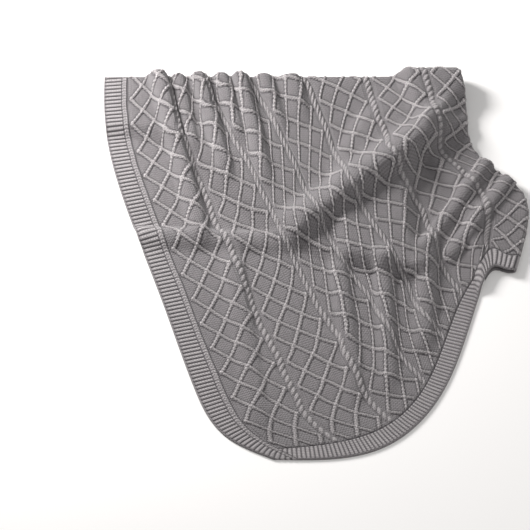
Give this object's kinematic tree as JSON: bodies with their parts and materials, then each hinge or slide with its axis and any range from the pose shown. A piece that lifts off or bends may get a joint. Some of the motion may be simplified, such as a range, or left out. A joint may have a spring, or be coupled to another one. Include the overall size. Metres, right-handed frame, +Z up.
{
  "type": "cable knit throw",
  "caption": "Loosely laid cable knit throw with ribbed borders, its far corner and right border folded under and soft folds across the cloth.",
  "frame": {"origin": "centre of the laid throw's overall box, on the surface that it rests on", "axes": "+Z up from the surface; +Y away from the near hem towards the turned-under far edge; +X towards the turned-under right border"},
  "size_m": [1.0588, 1.2724, 0.0777],
  "materials": {
    "panel_yarn": "soft matt knitted wool, warm grey",
    "border_left_yarn": "soft matt ribbed wool, warm grey",
    "border_right_yarn": "soft matt ribbed wool, warm grey",
    "hem_near_yarn": "soft matt ribbed wool, warm grey",
    "hem_far_yarn": "soft matt ribbed wool, warm grey"
  },
  "bodies": {
    "root": {"panel": "panel_yarn", "border_left": "border_left_yarn", "border_right": "border_right_yarn", "hem_near": "hem_near_yarn", "hem_far": "hem_far_yarn"}
  },
  "joints": []
}
